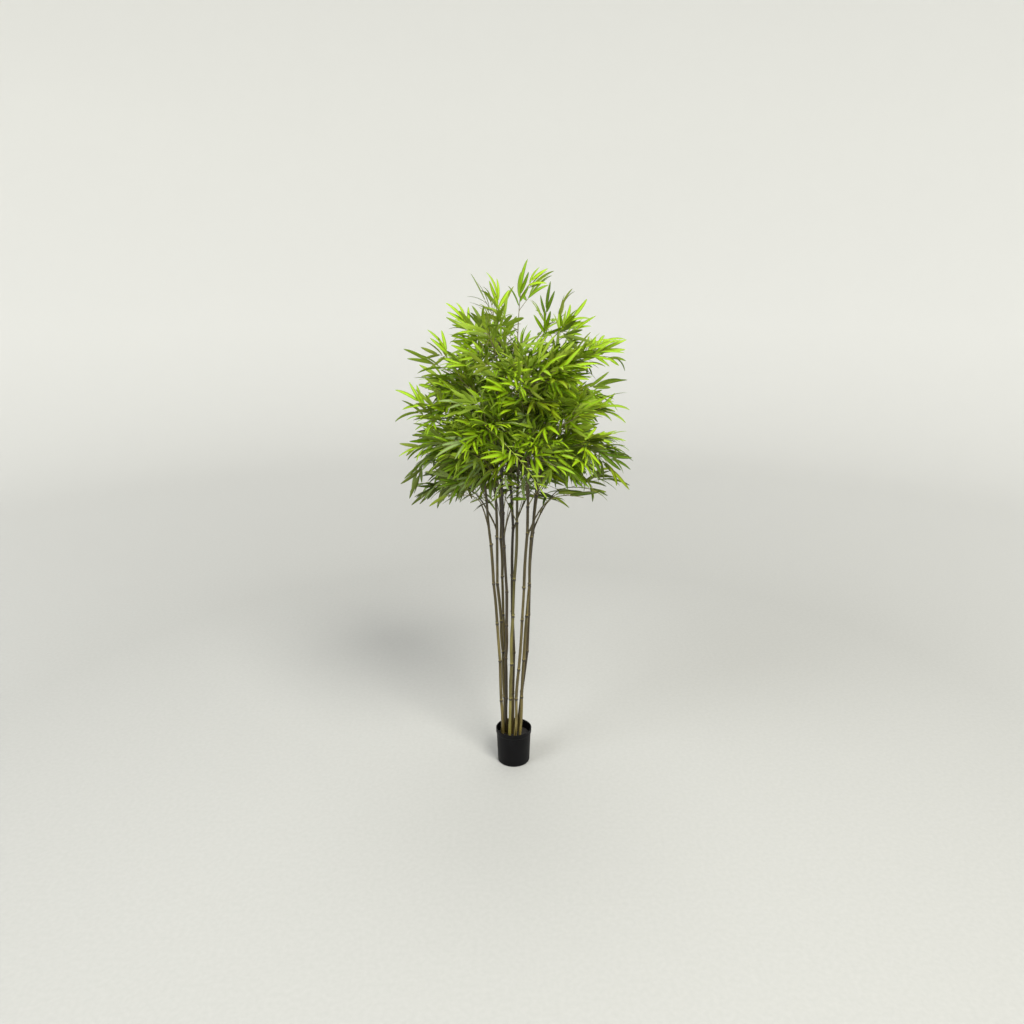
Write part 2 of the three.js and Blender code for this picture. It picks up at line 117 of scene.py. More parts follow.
# Finer twigs than the solids have, and leaves of the real size
STEM_RADII = (2.2, 1.1)
TWIGS_ON_STEM = 14
TWIG_ORDER = 5
TWIG_SHARES = (0.02, 0.94)
TWIGS_ON_BOUGH = (0.45, 0.62, 0.78, 0.92)
TWIG_LENGTHS = (105, 205)
TWIG_AT_TIP = 0.6
TWIG_RADII = (1.25, 0.75)
TWIG_TILTS = (88, 42)
TWIG_TILT_SPREAD = 30
TWIG_TURN = 137.5
TWIG_TURN_SPREAD = 50
TWIG_LOWEST = -0.35
FRONT = 270
TWIG_SAG = 0.1
TWIG_SIDES = 6
TWIG_STEPS = 14
FLOW_FROM = Vector((0, 0, 1340))
FLOW_FULL = 200
FLOW_SHARE = 0.3
LEAF_FLOW = 0.42
SHOOTS = ((0.36, 1), (0.66, -1))
SHOOT_LENGTHS = (45, 90)
SHOOT_TURN = 52
SHOOT_SPIN = 80
SHOOT_RADII = (0.75, 0.55)
SHOOT_STEPS = 5
BRANCHED_FROM = 1040
BRANCHES_AT_RING = 2
BRANCH_TURNS = (60, 150)
BRANCH_TILTS = (18.2, 36.4)
BRANCH_LENGTHS = (120, 240)
BRANCH_RADII = (2.3, 1.2)
RUNNERS = 2
RUNNER_RADII = (1.7, 1.1)
RUNNER_STRAYS = (10, 34)
RUNNER_STARTS = (0.04, 0.14)
RUNNER_MIDDLES = (0.4, 0.6)
FAN = (0, 30, -34, 54, -58, 15)
FAN_SPREAD = 32
FIRST_SPREAD = 0.4
FAN_ROLL = 180
LEAF_ROLL = 70
FAN_SPACING = 13
FAN_LONGEST = 0.9
FAN_SMALLEST = 0.8
LEAVES_IN_FAN = (3.0, 5.8)
FEWER_IN_FRINGE = 0.72
SLIM_SPRIG = "tip_6"
SLIM_FROM = 1900
SLIM_WIDTH = 0.36
LEAF_LENGTHS = (78, 114)
LEAF_WIDTHS = (14.5, 18.5)
LEAF_DROOP = 0.18
LOW_DROOP = 0.5
LOW_DROOP_BETWEEN = (1430, 1130)
LEAF_SLIMMER = 0.7
LEAF_BEND = (8, 56)
LEAF_BEND_LATE = 1.4
LEAF_TWIST = 40
LEAF_FOLD = 28
LEAF_OPENS = 0.6
LEAF_THICKNESS = 0.5
LEAF_THINS_UNDER = 3
LEAF_WIDEST = 0.7
LEAF_BLUNT = 0.6
LEAF_ROWS = (0.03, 0.1, 0.21, 0.34, 0.5, 0.66, 0.81, 0.93)
SCENE_SEED = 4000

# A thin sprig that hangs in front of the canes from one of the masses, with short narrow leaves
HANGING_MASS = "middle_5"
HANGING_FROM = 0.75
HANGING_BY = Vector((12, -368, 1448))
HANGING_TO = Vector((92, -340, 1313))
HANGING_LEAVES = 13
HANGING_BARE = 0.3
HANGING_LENGTHS = (26, 50)
HANGING_WIDTHS = (5.5, 8.5)
HANGING_TURNS = (20, 55)
HANGING_RADII = (1.3, 0.8)
HANGING_STEPS = 28

UP = Vector((0, 0, 1))
degrees = math.radians


def mix(a, b, share):
    return a + (b - a) * share


def clamped(value, low=0, high=1):
    return min(max(value, low), high)


def around(angle, out, z):
    return Vector((out * math.cos(degrees(angle)), out * math.sin(degrees(angle)), z))


def seeded(seed):
    """Random numbers that are the same each run, by the rule of the solids."""
    state = seed

    def draw():
        nonlocal state
        state = (state * 1664525 + 1013904223) & 0xFFFFFFFF
        return state / 2**32

    return draw


# The skeleton


def smooth(values, t):
    """A smooth line through four values, between the second and the third."""
    p0, p1, p2, p3 = values
    bend = (2 * p0 - 5 * p1 + 4 * p2 - p3) * t**2 + (3 * (p1 - p2) + p3 - p0) * t**3
    return 0.5 * (2 * p1 + (p2 - p0) * t + bend)


def cane_centre(cane, z):
    heights = (*STATIONS, cane["tip"][2])
    places = (*cane["at"], cane["tip"])
    i = 0
    while i < len(heights) - 2 and z > heights[i + 1]:
        i += 1
    t = (z - heights[i]) / (heights[i + 1] - heights[i])
    near = [places[clamped(k, 0, len(places) - 1)] for k in (i - 1, i, i + 1, i + 2)]
    return Vector((smooth([p[0] for p in near], t), smooth([p[1] for p in near], t), z))


def cane_nodes(cane, index):
    """The cane's growth rings: unevenly spaced, and each knocked a little off the smooth centre."""
    draw = seeded(CANE_SEED + index)
    foot, tip = STATIONS[0], cane["tip"][2]
    count = round((tip - foot) / CANE_NODE_SPACING)
    rings = []
    for k in range(count + 1):
        free = 0 if k in (0, count) else 1
        z = mix(foot, tip, k / count) + free * (draw() - 0.5) * CANE_NODE_UNEVEN
        kink = [free * (draw() - 0.5) * 2 * CANE_NODE_KINK for _ in range(2)]
        rings.append(cane_centre(cane, z) + Vector((*kink, 0)))
    return rings


class CaneLine:
    """A cane's centre, straight between its rings."""

    def __init__(self, rings):
        self.rings = rings
        self.foot, self.tip = rings[0].z, rings[-1].z

    def at_height(self, z):
        i = 0
        while i < len(self.rings) - 2 and z > self.rings[i + 1].z:
            i += 1
        low, high = self.rings[i], self.rings[i + 1]
        return low.lerp(high, (z - low.z) / (high.z - low.z))

    def stepped(self, share):
        return self.at_height(mix(self.foot, self.tip, share))


class Arc:
    """A smooth arc, and the same in the few straight steps that its solid has."""

    def __init__(self, start, control, end):
        self.ends = start, control, end

    def point(self, t):
        a, b, c = self.ends
        return a * (1 - t) ** 2 + b * 2 * t * (1 - t) + c * t**2

    def direction(self, t):
        a, b, c = self.ends
        return ((b - a) * (1 - t) + (c - b) * t).normalized()

    def stepped(self, share):
        i = min(int(share * ARC_STEPS), ARC_STEPS - 1)
        return self.point(i / ARC_STEPS).lerp(self.point((i + 1) / ARC_STEPS), share * ARC_STEPS - i)


def apart(points, starts, ends):
    """How far each point is from each straight piece, a row for each point."""
    along = ends - starts
    share = np.einsum("psk,sk->ps", points[:, None] - starts, along) / (along**2).sum(1)
    nearest = starts + np.clip(share, 0, 1)[..., None] * along
    return np.linalg.norm(points[:, None] - nearest, axis=2)


def pieces_of(line):
    """A line's straight pieces, as their starts and their ends."""
    points = np.array([line.stepped(k / LIMB_PIECES) for k in range(LIMB_PIECES + 1)])
    return points[:-1], points[1:]


def bough_arc(tier, angle, start):
    end = around(angle, tier["start"][0], start.z + tier["start"][1])
    control = start.lerp(end, BOUGH_BEND[0])
    control.z = mix(start.z, end.z, BOUGH_BEND[1])
    return Arc(start, control, end)


def stem_arc(reach, start, direction, leaf):
    """From where the stem starts to where its end leaf springs, a leaf's length short of its reach."""
    end = start.lerp(reach, 1 - leaf / (reach - start).length)
    return Arc(start, start + direction * (end - start).length * STEM_BOW, end)


def tier_mass(tier, k, cane, leaf=SOLID_LEAF):
    """One mass of a tier on one cane, with its bough if it has one and its stem."""
    angle = tier["first"] + k * tier["turn"]
    climb = tier["climb"] * k / (tier["count"] - 1)
    start = cane_lines[cane].at_height(tier["foot"] + climb)
    out = mix(tier["depth"], tier["width"], abs(math.cos(degrees(angle))))
    front = max(0, -math.sin(degrees(angle)))
    reach = around(angle, out, tier["height"] + climb + tier["front_rise"] * front)
    direction = around(angle, 1, STEM_RISE).normalized()
    bough = None
    if tier["start"]:
        bough = bough_arc(tier, angle, start)
        start, direction = bough.point(1), bough.direction(1)
    stem = stem_arc(reach, start, direction, leaf)
    name = f"{tier['name']}_{k + 1}"
    return {"tier": tier["name"], "name": name, "angle": angle, "cane": cane, "bough": bough, "stem": stem}


def in_the_clear(mass, grown):
    """Whether the limb that a mass leaves its cane by clears all that has grown on the other canes."""
    starts, ends = pieces_of(mass["bough"] or mass["stem"])
    shares = np.linspace(0, 1, APART_STEPS + 1)[:, None, None]
    points = (starts + (ends - starts) * shares).reshape(-1, 3)
    return all(apart(points, *others).min() > radius + LIMB_CLEARANCE
               for owner, radius, others in grown if owner != mass["cane"])


def grow_tier(tier, grown):
    """A tier's masses, each on the nearest cane where it is clear. A level tier uses no cane twice."""
    taken, masses = [], []
    for k in range(tier["count"]):
        foot = tier["foot"] + tier["climb"] * k / (tier["count"] - 1)
        target = around(tier["first"] + k * tier["turn"], tier["cane_out"], foot)
        free = [c for c in range(len(CANES)) if tier["climb"] > 0 or c not in taken]
        tall = [c for c in free if CANES[c]["tip"][2] > foot + CANE_LEFT_ABOVE]
        nearest = sorted(tall, key=lambda c: (cane_lines[c].at_height(foot) - target).length)
        found = [cane for cane in nearest if in_the_clear(tier_mass(tier, k, cane), grown)]
        cane = (found or nearest)[0]
        taken.append(cane)
        solid = tier_mass(tier, k, cane)
        grown.append((cane, BOUGH_FOOT_RADIUS, pieces_of(solid["bough"] or solid["stem"])))
        masses.append(tier_mass(tier, k, cane, LEAF_LENGTHS[1]))
    return masses


def tip_mass(cane, index):
    """The mass on a cane's tip, which reaches on the way the tip leans."""
    tip = Vector(cane["tip"])
    angle = math.degrees(math.atan2(tip.y, tip.x))
    stem = stem_arc(around(angle, *cane["reach"]), tip, UP, LEAF_LENGTHS[1])
    return {"tier": "tip", "name": f"tip_{index + 1}", "angle": angle, "bough": None, "stem": stem}


def skeleton():
    grown = [(index, CANE_FOOT_RADIUS, pieces_of(line)) for index, line in enumerate(cane_lines)]
    masses = [mass for tier in TIERS for mass in grow_tier(tier, grown)]
    return masses + [tip_mass(cane, index) for index, cane in enumerate(CANES)]


cane_lines = [CaneLine(cane_nodes(cane, index)) for index, cane in enumerate(CANES)]


def crown_foot(point):
    return CROWN_FOOT + CROWN_FRONT_RISE * max(0, -point.y) + CROWN_RIGHT_RISE * max(0, point.x)


def outness(point):
    """How far out a point is: 0 at the crown's middle line, and 1 at its outline."""
    rise = max(0, point.z - CROWN_SHOULDER) / (CROWN_TOP - CROWN_SHOULDER)
    radius = CROWN_RADIUS * math.sqrt(max(1e-6, 1 - rise**2))
    return math.hypot(point.x, point.y * CROWN_RADIUS / CROWN_DEPTH) / radius


def in_crown(point):
    return crown_foot(point) < point.z < CROWN_TOP and outness(point) < 1


def grows_at(point, draw):
    """Whether a twig may end here. The crown thins at its foot, its outline and its top, most on the left."""
    height = point.z + THINNED_LEFT * max(0, -point.x) * (point.z > THINNED_FROM)
    kept = mix(1, LEFT_AT_TOP, clamped((height - THINNED_FROM) / (CROWN_TOP - THINNED_FROM)))
    if outness(point) > FRINGE_FROM:
        kept *= LEFT_IN_FRINGE
    if point.z < crown_foot(point) + THINNED_FOOT:
        kept *= LEFT_AT_FOOT
    if point.z < OPEN_BELOW and abs(point.x) < OPEN_WIDTH and point.y < 0:
        kept *= LEFT_IN_OPEN
    return in_crown(point) and draw() <= kept


# Twigs and leaves


def across(direction, angle):
    """The two directions across a line: level and to the side, and up and away from it."""
    level = Vector((-math.sin(degrees(angle)), math.cos(degrees(angle)), 0))
    side = (level - direction * level.dot(direction)).normalized()
    return side, side.cross(direction)


def flow_at(point):
    """The way out from the crown's middle, that twigs and leaves tend to."""
    out = point - FLOW_FROM
    return out.normalized() * min(1, out.length / FLOW_FULL)


def one_leaf(root, way, blade, length, width, draw):
    """A leaf by its root, the way it points, the way across its blade, and its sizes."""
    return {
        "root": root,
        "way": way,
        "side": blade,
        "face": way.cross(blade),
        "length": length,
        "width": width,
        "bend": degrees(mix(*LEAF_BEND, draw())),
        "twist": degrees((draw() - 0.5) * LEAF_TWIST),
    }


def fan(line, angle, draw, longest=False, slim=False):
    """Leaves along the last part of a twig: the first straight on, the others left and right of it."""
    direction = line.direction(1)
    side, face = across(direction, angle)
    flow = flow_at(line.point(1))
    high, low = LOW_DROOP_BETWEEN
    lowness = clamped((high - line.point(1).z) / (high - low))
    roll = Quaternion(direction, degrees((draw() - 0.5) * FAN_ROLL))
    level, upper = roll @ side, roll @ face
    size = LEAF_LENGTHS[1] if longest else mix(*LEAF_LENGTHS, draw())
    fewer = FEWER_IN_FRINGE if outness(line.point(1)) > FRINGE_FROM else 1
    count = round(mix(*LEAVES_IN_FAN, draw()) * fewer)
    spacing = min(FAN_SPACING / (line.ends[2] - line.ends[0]).length, FAN_LONGEST / count)
    leaves = []
    for k, spread in enumerate(FAN[:count]):
        turn = degrees(spread + (draw() - 0.5) * FAN_SPREAD * (1 if k else FIRST_SPREAD))
        way = Quaternion(upper, turn) @ direction + flow * LEAF_FLOW
        way.z -= LEAF_DROOP * abs(math.sin(turn)) + LOW_DROOP * lowness
        way.normalize()
        own = size * (mix(FAN_SMALLEST, 1, draw()) if k else 1)
        tilt = Quaternion(way, degrees((draw() - 0.5) * LEAF_ROLL))
        blade = tilt @ (level - way * level.dot(way)).normalized()
        width = mix(*LEAF_WIDTHS, draw()) * (own / LEAF_LENGTHS[1]) ** LEAF_SLIMMER
        width *= SLIM_WIDTH if slim else 1
        leaves.append(one_leaf(line.point(1 - spacing * k), way, blade, own, width, draw))
    return [leaf for leaf in leaves if in_crown(leaf["root"] + leaf["way"] * leaf["length"])]


def twig_arc(start, way, length):
    """A twig that leaves its limb one way and sags a little towards its end."""
    end = start + way * length
    middle = start.lerp(end, 0.5)
    end.z -= length * TWIG_SAG
    return Arc(start, middle, end)


def side_twig(limb, share, tilt, turn, angle, length):
    """A twig that stands off its limb by its tilt, turned round it, and tends out of the crown."""
    start, along = limb.point(share), limb.direction(share)
    side, face = across(along, angle)
    outward = side * math.cos(turn) + face * max(math.sin(turn), TWIG_LOWEST)
    way = (along * math.cos(tilt) + outward * math.sin(tilt)).normalized()
    return twig_arc(start, (way + flow_at(start) * FLOW_SHARE).normalized(), length)


def mass_twigs(mass, draw):
    """The twigs of a stem and its bough, each turned further round than the one before."""
    steps = [(k * TWIG_ORDER) % TWIGS_ON_STEM / (TWIGS_ON_STEM - 1) for k in range(TWIGS_ON_STEM)]
    places = [(mass["stem"], mix(*TWIG_SHARES, step)) for step in steps]
    if mass["bough"]:
        places += [(mass["bough"], share) for share in TWIGS_ON_BOUGH]
    twigs = []
    for k, (limb, share) in enumerate(places):
        turn = degrees(k * TWIG_TURN + draw() * TWIG_TURN_SPREAD)
        tilt = degrees(mix(*TWIG_TILTS, share) + (draw() - 0.5) * TWIG_TILT_SPREAD)
        length = mix(*TWIG_LENGTHS, draw()) * mix(1, TWIG_AT_TIP, share)
        twigs.append(side_twig(limb, share, tilt, turn, mass["angle"], length))
    return twigs


def leafy_twig(twig, radii, angle, draw, slim=False):
    """A twig and its side shoots, each with its radii and the spray at its end. A bare one is left out."""
    growth = [(twig, radii, fan(twig, angle, draw, slim=slim))]
    for at, hand in SHOOTS:
        along = twig.direction(at)
        side, _ = across(along, angle)
        spin = Quaternion(along, degrees((draw() - 0.5) * SHOOT_SPIN))
        way = along * math.cos(degrees(SHOOT_TURN)) + spin @ side * hand * math.sin(degrees(SHOOT_TURN))
        shoot = twig_arc(twig.point(at), way.normalized(), mix(*SHOOT_LENGTHS, draw()))
        if grows_at(shoot.point(1), draw):
            spray = fan(shoot, angle, draw, slim=slim)
            if spray:
                growth.append((shoot, SHOOT_RADII, spray))
    return growth if any(spray for *_, spray in growth) else []


def runners(bough, draw):
    """Thin twigs that run beside a bough and stray from it towards its end."""
    for _ in range(RUNNERS):
        turn = 360 * draw()
        beside = around(turn, BOUGH_FOOT_RADIUS * 2, 0)
        end = bough.point(1) + around(turn, mix(*RUNNER_STRAYS, draw()), mix(*RUNNER_STRAYS, draw()))
        start = bough.point(mix(*RUNNER_STARTS, draw()))
        yield Arc(start, bough.point(mix(*RUNNER_MIDDLES, draw())) + beside, end)


def grow_mass(mass, index):
    """A mass's stem, twigs and shoots, each with its radii and its spray."""
    draw = seeded(SCENE_SEED + index)
    angle, stem = mass["angle"], mass["stem"]
    slim = mass["name"] == SLIM_SPRIG
    growth = [(stem, STEM_RADII, fan(stem, angle, draw, longest=True, slim=slim))]
    twigs = [(twig, TWIG_RADII) for twig in mass_twigs(mass, draw)]
    if mass["bough"]:
        twigs += [(twig, RUNNER_RADII) for twig in runners(mass["bough"], draw)]
    for twig, radii in twigs:
        if grows_at(twig.point(1), draw):
            own_slim = slim and twig.point(0).z > SLIM_FROM
            growth += leafy_twig(twig, radii, angle, draw, own_slim)
    return growth


def grow_branches(line, index):
    """The branches at a cane's upper rings, in the same form."""
    draw = seeded(SCENE_SEED * 2 + index)
    growth = []
    for ring in line.rings[1:-1]:
        first = 360 * draw()
        for k in range(BRANCHES_AT_RING):
            angle = first + (k - 0.5) * mix(*BRANCH_TURNS, draw())
            tilt = degrees(mix(*BRANCH_TILTS, draw()))
            way = around(angle, math.sin(tilt), math.cos(tilt))
            branch = twig_arc(ring, way, mix(*BRANCH_LENGTHS, draw()))
            if ring.z > BRANCHED_FROM and grows_at(branch.point(1), draw):
                growth += leafy_twig(branch, BRANCH_RADII, angle, draw)
    return growth


def hanging_sprig(masses):
    """The hanging sprig's line, and its leaves, left and right of it in turn."""
    draw = seeded(SCENE_SEED * 3)
    mass = next(mass for mass in masses if mass["name"] == HANGING_MASS)
    line = Arc(mass["stem"].point(HANGING_FROM), HANGING_BY, HANGING_TO)
    leaves = []
    for k in range(HANGING_LEAVES):
        share = mix(HANGING_BARE, 1, k / (HANGING_LEAVES - 1))
        _, face = across(line.direction(share), FRONT)
        turn = (-1) ** k * mix(*HANGING_TURNS, draw()) * (share < 1)
        way = Quaternion(face, degrees(turn)) @ line.direction(share)
        blade = Quaternion(way, degrees((draw() - 0.5) * LEAF_ROLL)) @ face.cross(way)
        width = mix(*HANGING_WIDTHS, draw())
        length = mix(*HANGING_LENGTHS, draw())
        leaves.append(one_leaf(line.point(share), way, blade, length, width, draw))
    return line, leaves


# Meshes


def scene_object(name, data):
    made = bpy.data.objects.new(name, data)
    bpy.context.scene.collection.objects.link(made)
    return made


def smooth_object(name, points, faces, finishes):
    """A mesh with smooth faces, from points in metres."""
    mesh = bpy.data.meshes.new(name)
    mesh.from_pydata(points, [], faces)
    mesh.polygons.foreach_set("use_smooth", np.full(len(mesh.polygons), True))
    for finish in finishes:
        mesh.materials.append(finish)
    return scene_object(name, mesh)


def piece(name, points, faces, finishes, replaces):
    """A piece of the plant, from points in millimetres."""
    made = smooth_object(name, points * MM, faces, finishes)
    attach(made, "root")
    if replaces:
        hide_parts(*replaces)
    return made


class Shape:
    """Closed lofts of rings, collected into one mesh."""

    def __init__(self):
        self.points, self.faces, self.values, self.count = [], [], [], 0

    def loft(self, rings, values=None):
        """Joins rings of points, and closes both ends, each round a point in its middle."""
        rings = np.asarray(rings, float)
        amount, sides = rings.shape[:2]
        self.points += [rings.reshape(-1, 3), rings[:1].mean(1), rings[-1:].mean(1)]
        if values is not None:
            self.values += [np.repeat(values, sides), values[:1], values[-1:]]
        k = np.arange(sides)
        following = (k + 1) % sides
        for row in range(amount - 1):
            low, high = self.count + row * sides, self.count + (row + 1) * sides
            self.faces += np.stack([low + k, low + following, high + following, high + k], 1).tolist()
        first, last = self.count, self.count + (amount - 1) * sides
        middle = self.count + amount * sides
        self.faces += np.stack([first + following, first + k, np.full(sides, middle)], 1).tolist()
        self.faces += np.stack([last + k, last + following, np.full(sides, middle + 1)], 1).tolist()
        self.count += amount * sides + 2

    def piece(self, name, finish, replaces, slot):
        return piece(name, np.concatenate(self.points), self.faces, [finish], replaces)


def ring_frames(points):
    """Two directions across a line at each of its points, that turn with it and don't spin."""
    ways = np.gradient(points, axis=0)
    ways /= np.linalg.norm(ways, axis=1)[:, None]
    start = Vector(ways[0]).orthogonal().normalized()
    across_ways = []
    for way in ways:
        start = (start - Vector(way) * start.dot(Vector(way))).normalized()
        across_ways.append((tuple(start), tuple(Vector(way).cross(start))))
    return np.array(across_ways)


def tube_rings(points, radii, sides):
    points = np.asarray(points, float)
    axes = ring_frames(points)
    turn = np.arange(sides) * 2 * math.pi / sides
    circle = np.cos(turn)[:, None] * axes[:, None, 0] + np.sin(turn)[:, None] * axes[:, None, 1]
    return points[:, None] + circle * np.asarray(radii)[:, None, None]


def arc_tube(shape, line, radii, steps):
    shares = np.linspace(0, 1, steps + 1)
    points = [line.point(t) for t in shares]
    shape.loft(tube_rings(points, mix(*radii, shares), TWIG_SIDES))


# Leaves: each is a thin closed blade, folded along its middle, bent and twisted. Round it go its places
# across, its layers, and its finishes: 0 on the margins, 1 in the middle and 2 on the underside
BLADE_U = np.array([-1, -0.5, 0, 0.5, 1, 0])
BLADE_LAYER = np.array([0, 1, 1, 1, 0, -1])
BLADE_FINISH = np.array([0, 1, 1, 0, 2, 2], np.int32)


def leaf_points(leaves):
    """All the leaves' points: for each its rings round the blade, then its root and its tip."""
    facts = (np.array([leaf[key] for leaf in leaves], float) for key in leaves[0])
    root, way, side, face, length, width, bend, twist = facts
    droop = np.where(face[:, 2] < 0, -1, 1)
    rows = np.array([0, *LEAF_ROWS, 1])
    angles = (bend * droop)[:, None] * rows**LEAF_BEND_LATE
    middles = (angles[:, 1:] + angles[:, :-1]) / 2
    steps = np.diff(rows) * length[:, None]
    forward = np.cumsum(np.cos(middles) * steps, 1)
    down = np.cumsum(np.sin(middles) * steps, 1)
    centre = root[:, None] + forward[..., None] * way[:, None] - down[..., None] * face[:, None]
    turned = angles[:, 1:-1, None]
    local_face = face[:, None] * np.cos(turned) + way[:, None] * np.sin(turned)
    inner = rows[1:-1]
    spin = (twist[:, None] * inner)[..., None]
    blade_side = side[:, None] * np.cos(spin) + local_face * np.sin(spin)
    blade_face = local_face * np.cos(spin) - side[:, None] * np.sin(spin)
    half = width[:, None] / 2 * np.sin(math.pi * inner**LEAF_WIDEST) ** LEAF_BLUNT
    fold = np.radians(LEAF_FOLD) * (1 - LEAF_OPENS * inner)[:, None]
    sideways = half[..., None] * BLADE_U * np.cos(fold)
    upward = half[..., None] * np.abs(BLADE_U) * np.sin(fold)
    upward += BLADE_LAYER * LEAF_THICKNESS / 2 * np.minimum(1, half / LEAF_THINS_UNDER)[..., None]
    ring = centre[:, :-1, None] + sideways[..., None] * blade_side[:, :, None]
    ring += upward[..., None] * blade_face[:, :, None]
    points = np.concatenate([ring.reshape(len(leaves), -1, 3), root[:, None], centre[:, -1:]], 1)
    return points.reshape(-1, 3)


def leaf_template():
    """One leaf's faces with their finishes, its rim points, and its map, from 0 to 1 across and along it."""
    rows, sides = len(LEAF_ROWS), len(BLADE_U)
    blade = Shape()
    blade.loft(np.zeros((rows, sides, 3)))
    faces = [face[::-1] for face in blade.faces]
    kinds = np.tile(BLADE_FINISH, rows + 1)
    rim = np.tile(np.abs(BLADE_U) == 1, rows).tolist() + [True, True]
    u = np.tile((BLADE_U + 1) / 2, rows).tolist() + [0.5, 0.5]
    v = np.repeat(LEAF_ROWS, sides).tolist() + [0, 1]
    return faces, kinds, np.array(rim), np.stack([u, v], 1)


def leaf_piece(name, leaves, replaces, finishes):
    """Leaves as one piece, with the finishes of their margins, their middles and their undersides."""
    faces, kinds, rim, uv = leaf_template()
    count, size = len(leaves), len(rim)
    all_faces = [[corner + n * size for corner in face] for n in range(count) for face in faces]
    mesh = piece(name, leaf_points(leaves), all_faces, finishes, replaces).data
    mesh.polygons.foreach_set("material_index", np.tile(kinds, count))
    uv = np.tile(uv, (count, 1))
    uv[:, 1] += np.repeat(np.arange(count), size)
    corners = [corner for face in all_faces for corner in face]
    mesh.uv_layers.new(name="leaf").data.foreach_set("uv", uv.astype(np.float32)[corners].ravel())
    ends = np.empty(len(mesh.edges) * 2, np.int32)
    mesh.edges.foreach_get("vertices", ends)
    sharp = np.tile(rim, count)[ends].reshape(-1, 2).all(1)
    mesh.attributes.new("sharp_edge", "BOOLEAN", "EDGE").data.foreach_set("value", sharp)


# Materials


class Nodes:
    """A material's nodes, added one at a time."""

    def __init__(self, name):
        self.material = bpy.data.materials.new(name)
        self.material.use_nodes = True
        self.tree = self.material.node_tree
        self.shader = self.tree.nodes["Principled BSDF"]

    def add(self, kind, settings=None, **inputs):
        made = self.tree.nodes.new(kind)
        for key, value in (settings or {}).items():
            setattr(made, key, value)
        for key, value in inputs.items():
            self.put(made.inputs[key.replace("_", " ")], value)
        return made

    def put(self, socket, value):
        if isinstance(value, bpy.types.NodeSocket):
            self.tree.links.new(value, socket)
        else:
            socket.default_value = value

    def place(self, stretch=(1, 1, 1)):
        made = self.add("ShaderNodeTexCoord")
        return self.add("ShaderNodeMapping", Vector=made.outputs["Object"], Scale=stretch).outputs["Vector"]

    def noise(self, scale, detail=3.0, rough=0.55, stretch=(1, 1, 1)):
        sizes = {"Scale": scale, "Detail": detail, "Roughness": rough}
        return self.add("ShaderNodeTexNoise", Vector=self.place(stretch), **sizes).outputs["Fac"]

    def ramp(self, value, stops):
        """Colours or greys by a value. stops is [(place, colour), ...]."""
        made = self.add("ShaderNodeValToRGB", Fac=value)
        points = made.color_ramp.elements
        while len(points) < len(stops):
            points.new(0.5)
        for point, (place, colour) in zip(points, stops):
            point.position = place
            point.color = rgba(colour)
        return made.outputs["Color"]

    def spread(self, value, low, high, start=0.0, end=1.0):
        """A value from start to end spread from low to high."""
        ranges = {"From_Min": start, "From_Max": end, "To_Min": low, "To_Max": high}
        return self.add("ShaderNodeMapRange", Value=value, **ranges).outputs["Result"]

    def clamped(self, value):
        return self.add("ShaderNodeClamp", Value=value).outputs["Result"]

    def attribute(self, name):
        return self.add("ShaderNodeAttribute", {"attribute_name": name}).outputs["Fac"]

    def blend(self, share, one, other):
        made = self.add("ShaderNodeMix", {"data_type": "RGBA"})
        self.put(made.inputs["Factor"], share)
        self.put(made.inputs[6], one)
        self.put(made.inputs[7], other)
        return made.outputs[2]

    def maths(self, operation, one, other=0.0):
        made = self.add("ShaderNodeMath", {"operation": operation})
        self.put(made.inputs[0], one)
        self.put(made.inputs[1], other)
        return made.outputs[0]

    def bump(self, height, strength, distance):
        made = self.add("ShaderNodeBump", Height=height, Strength=strength, Distance=distance)
        self.put(self.shader.inputs["Normal"], made.outputs["Normal"])

    def finish(self, colour, roughness, specular=0.5):
        looks = {"Base Color": colour, "Roughness": roughness, "Specular IOR Level": specular}
        for name, value in looks.items():
            self.put(self.shader.inputs[name], value)
        return self.material


def rgba(colour, by=1):
    return (*(min(1, c * by) for c in colour), 1)


# Each tone's colour, and its shares of the sprays in full light and where the light is 0. The tones are lit
# and shaded copies of one leaf colour: painted light and shade
LEAF_TONES = {
    "lime": ((0.285, 0.43, 0.01), 0.34, 0.02),
    "spring": ((0.245, 0.385, 0.008), 0.36, 0.12),
    "green": ((0.19, 0.315, 0.006), 0.2, 0.28),
    "olive": ((0.185, 0.25, 0.006), 0.1, 0.21),
    "deep": ((0.088, 0.15, 0.005), 0.06, 0.19),
    "dark": ((0.048, 0.072, 0.004), -0.06, 0.08),
    "grey": ((0.20, 0.27, 0.08), 0.0, 0.1),
}
MARGIN = (0.86, 0.74, 0.7)
MIDDLE = (1.1, 1.24, 1.2)
UNDERSIDE = (0.205, 0.26, 0.045)
UNDERSIDE_SHARE = 0.4
LEAF_VEINS = 9
LEAF_SPECULAR = 0.18
LEAF_SHEEN_UNEVEN = 0.1


def leaf_finish(name, colour, roughness):
    """Moulded cloth leaf in one plain colour, with fine veins along it and an uneven sheen."""
    nodes = Nodes(name)
    uv = nodes.add("ShaderNodeUVMap", {"uv_map": "leaf"}).outputs["UV"]
    across_blade = nodes.add("ShaderNodeSeparateXYZ", Vector=uv).outputs["X"]
    veins = nodes.maths("SINE", nodes.maths("MULTIPLY", across_blade, LEAF_VEINS * 2 * math.pi))
    patches = nodes.noise(40, 2)
    weave = nodes.noise(900, 2)
    nodes.bump(nodes.maths("ADD", nodes.maths("MULTIPLY", veins, 0.6), weave), 0.3, 0.0003)
    sheen = nodes.spread(patches, roughness - LEAF_SHEEN_UNEVEN, roughness + LEAF_SHEEN_UNEVEN)
    return nodes.finish(rgba(colour), sheen, LEAF_SPECULAR)


